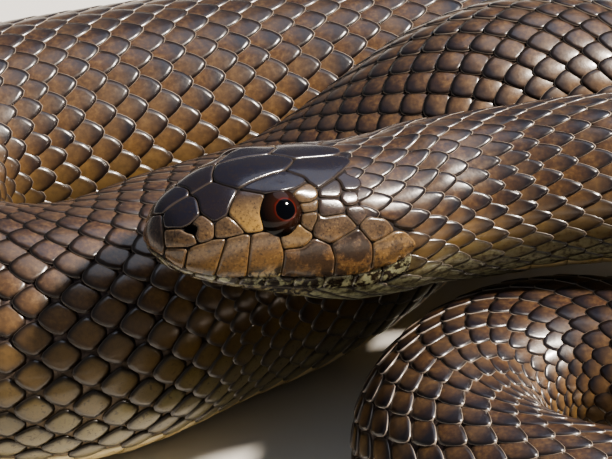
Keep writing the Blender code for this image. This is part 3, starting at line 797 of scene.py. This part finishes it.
SEAM = 0.03             # a shield's rim lies this far inside its outline
FILL = 0.62             # spacing of the points that fill a shield
SHIELD_DEPTH = 0.5
# Height of a shield over the head's outline against the distance from its rim.
SHIELD_RISE = ((0, 0.05, 0.12, 0.3, 1.2, 3.0), (-0.22, -0.09, -0.04, -0.015, 0.012, 0.03))


def inside(points, ring):
    """Whether each point lies inside the ring."""
    x, y = points[:, :1], points[:, 1:]
    x0, y0 = ring.T
    x1, y1 = np.roll(ring, -1, 0).T
    drop = np.where(y1 == y0, 1e-9, y1 - y0)
    crossed = ((y0 > y) != (y1 > y)) & (x < (x1 - x0) * (y - y0) / drop + x0)
    return crossed.sum(1) % 2 == 1


def from_edge(points, ring):
    """Distance of each point from the ring's nearest side."""
    side = np.roll(ring, -1, 0) - ring
    off = points[:, None] - ring
    share = np.clip((off * side).sum(-1) / np.maximum((side ** 2).sum(-1), 1e-12), 0, 1)
    return np.linalg.norm(off - share[..., None] * side, axis=-1).min(1)


def walk(ring, step):
    """The closed ring's points at an even step, with its corners a little rounded."""
    closed = np.vstack([ring, ring[:1]])
    run = np.r_[0, np.cumsum(np.linalg.norm(np.diff(closed, axis=0), axis=1))]
    n = max(10, int(round(run[-1] / step)))
    t = np.arange(n) * run[-1] / n
    even = np.stack([np.interp(t, run, closed[:, k]) for k in range(2)], 1)
    for _ in range(2):
        even = 0.5 * even + 0.25 * (np.roll(even, 1, 0) + np.roll(even, -1, 0))
    return even


def shrink(ring, by):
    """The ring moved inward; it runs anticlockwise."""
    d = np.roll(ring, -1, 0) - np.roll(ring, 1, 0)
    n = np.stack([-d[:, 1], d[:, 0]], 1)
    return ring + by * unit(n)


def shield_plan(outline_flat):
    """A shield laid flat: its points, its triangles and each point's distance from the rim."""
    rim = shrink(walk(outline_flat, 0.33), SEAM)
    x, y = (np.arange(a, b, FILL) for a, b in zip(rim.min(0), rim.max(0)))
    x, y = np.meshgrid(x, y)
    x[1::2] += FILL / 2
    sets = ((shrink(rim, 0.13), 0.09), (shrink(rim, 0.34), 0.26),
            (np.stack([x.ravel(), y.ravel()], 1), 0.6))
    extra = np.vstack([dots[from_edge(dots, rim) > clear] for dots, clear in sets])
    dots = np.vstack([rim, extra[inside(extra, rim)]])
    sides = [(k, (k + 1) % len(rim)) for k in range(len(rim))]
    got = delaunay_2d_cdt([Vector(dot) for dot in dots], sides, [], 1, 1e-5)
    plan = np.array([tuple(dot) for dot in got[0]])
    return plan, np.array([face for face in got[2] if len(face) == 3]), from_edge(plan, rim)


def head_surface():
    """The head's outer surface, to be hit by rays."""
    s = np.r_[np.arange(0.82, 3, 0.06), np.arange(3, 42, 0.3)] - LEAD
    turns = np.radians(np.arange(-90, 270, 2.5))
    n = len(turns)
    points = outline(np.repeat(s[:, None], n, 1), np.repeat(turns[None], len(s), 0))
    i = np.arange(len(s) - 1)[:, None] * n
    j = np.arange(n)
    k = (j + 1) % n
    quads = np.stack([i + j, i + n + j, i + n + k, i + k], -1).reshape(-1, 4).tolist()
    return BVHTree.FromPolygons(points.reshape(-1, 3).tolist(), quads + [j[::-1].tolist()])


def build_shields(mat):
    """All head shields as thin closed solids, each cut from the head's own surface."""
    head = head_surface()
    points, faces, unwrap, start = [], [], [], 0
    marks = {"rim": [], "high": [], "yellow": [], "blot": []}
    for name, ring, (high, yellow, blot) in shields():
        s, turn = np.array(ring).T
        corners = outline(s, turn)
        middle = corners.mean(0)
        normal = unit((on_body(s, turn, 1.0) - corners).mean(0))
        first = unit(np.cross(normal, (0.3, 0.2, 0.9)))
        second = np.cross(normal, first)
        flat = (corners - middle) @ np.stack([first, second], 1)
        onward = np.roll(flat, -1, 0)
        if (flat[:, 0] * onward[:, 1] - onward[:, 0] * flat[:, 1]).sum() < 0:
            flat = flat[::-1]
        plan, triangles, inward = shield_plan(flat)
        spots, norms = [], []
        for place in middle + plan @ np.stack([first, second]):
            hit, norm, _, _ = head.ray_cast(Vector(place + normal * 6), Vector(-normal), 14)
            if hit is None:
                hit, norm, _, _ = head.find_nearest(Vector(place))
            spots.append(hit[:])
            norms.append(norm[:] if norm.dot(Vector(normal)) >= 0 else (-norm)[:])
        spots, norms = np.array(spots), np.array(norms)
        lift = np.interp(inward, *SHIELD_RISE)
        points += [spots + norms * lift[:, None], spots - norms * SHIELD_DEPTH]
        count = len(plan)
        ways = [way for a, b, c in triangles.tolist() for way in ((a, b), (b, c), (c, a))]
        shared = {(b, a) for a, b in ways}
        a, b = np.array([way for way in ways if way not in shared]).T + start
        faces += [triangles + start, triangles[:, ::-1] + start + count,
                  np.stack([a, a + count, b], 1), np.stack([b, a + count, b + count], 1)]
        up = (spots[:, 2] - middle[2]) / 12
        fade = np.clip(0.6 - up * 4, 0, 1) if "preocular" in name else np.ones(count)
        tone = {"rim": 1 - np.clip(inward / 0.4, 0, 1), "yellow": yellow * fade,
                "high": np.clip(high + up * (0.9 if 0.3 < high < 0.7 else 0.2), 0, 1),
                "blot": np.full(count, blot)}
        for key, values in tone.items():
            marks[key].append(np.tile(values, 2))
        u = 0.02 + 0.95 * (spots - SKULL_P) @ SKULL_T / -(SKULL + LEAD)
        v = (turn.mean() + math.pi / 2) / (2 * math.pi) + plan[:, 1] / 75
        unwrap.append(np.tile(np.clip(np.stack([u, v], 1), 0.001, 0.999), (2, 1)))
        start += 2 * count
    marks = {key: np.concatenate(values) for key, values in marks.items()}
    return piece("head_shields", np.vstack(points), [np.vstack(faces)], mat, marks,
                 np.vstack(unwrap))


# ---------------------------------------------------------------- eyes
def build_eye(side, mat):
    """A ball in its socket, with each point's angle from the pupil's middle as a measure."""
    sign = 1 if side == "left" else -1
    left = unit(np.cross(SKULL_T, (0.0, 0.0, 1.0)))
    up = np.cross(left, SKULL_T)
    centre = (SKULL_P + (EYE_AT[0] - SKULL - LEAD) * SKULL_T
              + sign * EYE_AT[1] * left + EYE_AT[2] * up)
    back, outward, rise = PUPIL_TOWARD
    look = unit(back * SKULL_T + sign * outward * left + rise * up)
    bpy.ops.mesh.primitive_uv_sphere_add(segments=64, ring_count=40, radius=EYE_R * MM,
                                         location=(0, 0, 0))
    ball = bpy.context.object
    ball.name = "eye_ball_" + side
    turn = Vector((0, 0, 1)).rotation_difference(Vector(look))
    ball.data.transform(turn.to_matrix().to_4x4())
    co = np.zeros(len(ball.data.vertices) * 3)
    ball.data.vertices.foreach_get("co", co)
    co = co.reshape(-1, 3)
    away = np.arccos(np.clip(unit(co) @ look, -1, 1)) / IRIS_REACH
    layer = ball.data.attributes.new("away", "FLOAT", "POINT")
    layer.data.foreach_set("value", away.astype(np.float32))
    ball.data.vertices.foreach_set("co", (co + centre * MM).ravel())
    for polygon in ball.data.polygons:
        polygon.use_smooth = True
    ball.data.materials.append(mat)
    return ball


# ---------------------------------------------------------------- building
bpy.ops.object.select_all(action="DESELECT")
SKIN = soft_skin()
SCALE = scale_keratin()
PLATE = belly_keratin()
SHIELD = shield_keratin()
EYE = wet_eye()

skin = build_skin(SKIN)
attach(skin, "root")
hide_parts(*[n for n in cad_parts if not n.startswith("eye_")])

NAPE = shield_ends()
spots = scale_spots()
order = np.argsort(spots[:, 0], kind="stable")
groups = ("scales_of_neck", "scales_of_fore_body", "scales_of_mid_body", "scales_of_hind_body")
for name, part in zip(groups, np.array_split(order, len(groups))):
    points, faces, measures, unwrap = lay_scales(spots[part])
    run = piece(name, points, faces, SCALE, measures, unwrap)
    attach(run, "root")

points, faces, measures, unwrap = lay_belly()
belly = piece("belly_plates", points, faces, PLATE, measures, unwrap)
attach(belly, "root")

head_coat = build_shields(SHIELD)
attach(head_coat, "root")

for side in ("left", "right"):
    eye = build_eye(side, EYE)
    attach(eye, "root")
    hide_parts("eye_" + side)

# ---------------------------------------------------------------- floor, light and camera
bpy.ops.object.select_all(action="DESELECT")
bpy.ops.mesh.primitive_plane_add(size=60, location=(0, 0, -0.02 * MM))
floor = bpy.context.object
floor.name = "floor"
matt, _, shader = finish("matt_white_floor", 0.75)
shader.inputs["Base Color"].default_value = colour("#d9d6d0")
floor.data.materials.append(matt)


def lamp(name, place, aim, size, power, tint):
    """A round soft lamp in its place, aimed at a point."""
    light = bpy.data.lights.new(name, "AREA")
    light.shape = "DISK"
    light.size = size
    light.energy = power
    light.color = colour(tint)[:3]
    obj = bpy.data.objects.new(name, light)
    obj.location = place
    obj.rotation_mode = "QUATERNION"
    obj.rotation_quaternion = (Vector(aim) - Vector(place)).to_track_quat("-Z", "Y")
    bpy.context.scene.collection.objects.link(obj)
    return obj


# A small key lamp to the right gives each scale its gleam; the other two only lift the shadows.
lamp("key", (0.95, -0.06, 1.05), (-0.02, 0.0, 0.02), 0.13, 60.0, "#fff5e8")
lamp("fill", (-1.1, -0.7, 0.9), (-0.02, 0.0, 0.02), 1.2, 3.0, "#e6eeff").visible_glossy = False
lamp("top", (0.45, 0.6, 1.3), (0.0, 0.0, 0.0), 1.3, 6.0, "#e2ecff")

bpy.context.scene.view_settings.look = "AgX - Medium High Contrast"
world = bpy.data.worlds.new("studio")
bpy.context.scene.world = world
world.use_nodes = True
sky = world.node_tree.nodes["Background"]
sky.inputs["Color"].default_value = colour("#dfe3e8")
sky.inputs["Strength"].default_value = 0.24

# The camera looks down at the left side of the head and at the coils round it.
TARGET = Vector((-CENTRE[0], -CENTRE[1], 31.5)) * MM
DISTANCE = 0.55
ELEVATION = math.radians(33)
FIELD = math.radians(7.58)
cam = bpy.data.cameras.new("camera")
cam.sensor_width = 36.0
cam.lens = cam.sensor_width / 2 / math.tan(FIELD / 2)
cam.clip_start, cam.clip_end = 0.01, 100.0
camera = bpy.data.objects.new("camera", cam)
toward = Vector((0, -math.cos(ELEVATION), math.sin(ELEVATION)))
camera.location = TARGET + toward * DISTANCE
camera.rotation_mode = "QUATERNION"
camera.rotation_quaternion = (-toward).to_track_quat("-Z", "Y")
bpy.context.scene.collection.objects.link(camera)
bpy.context.scene.camera = camera

bpy.context.view_layer.update()
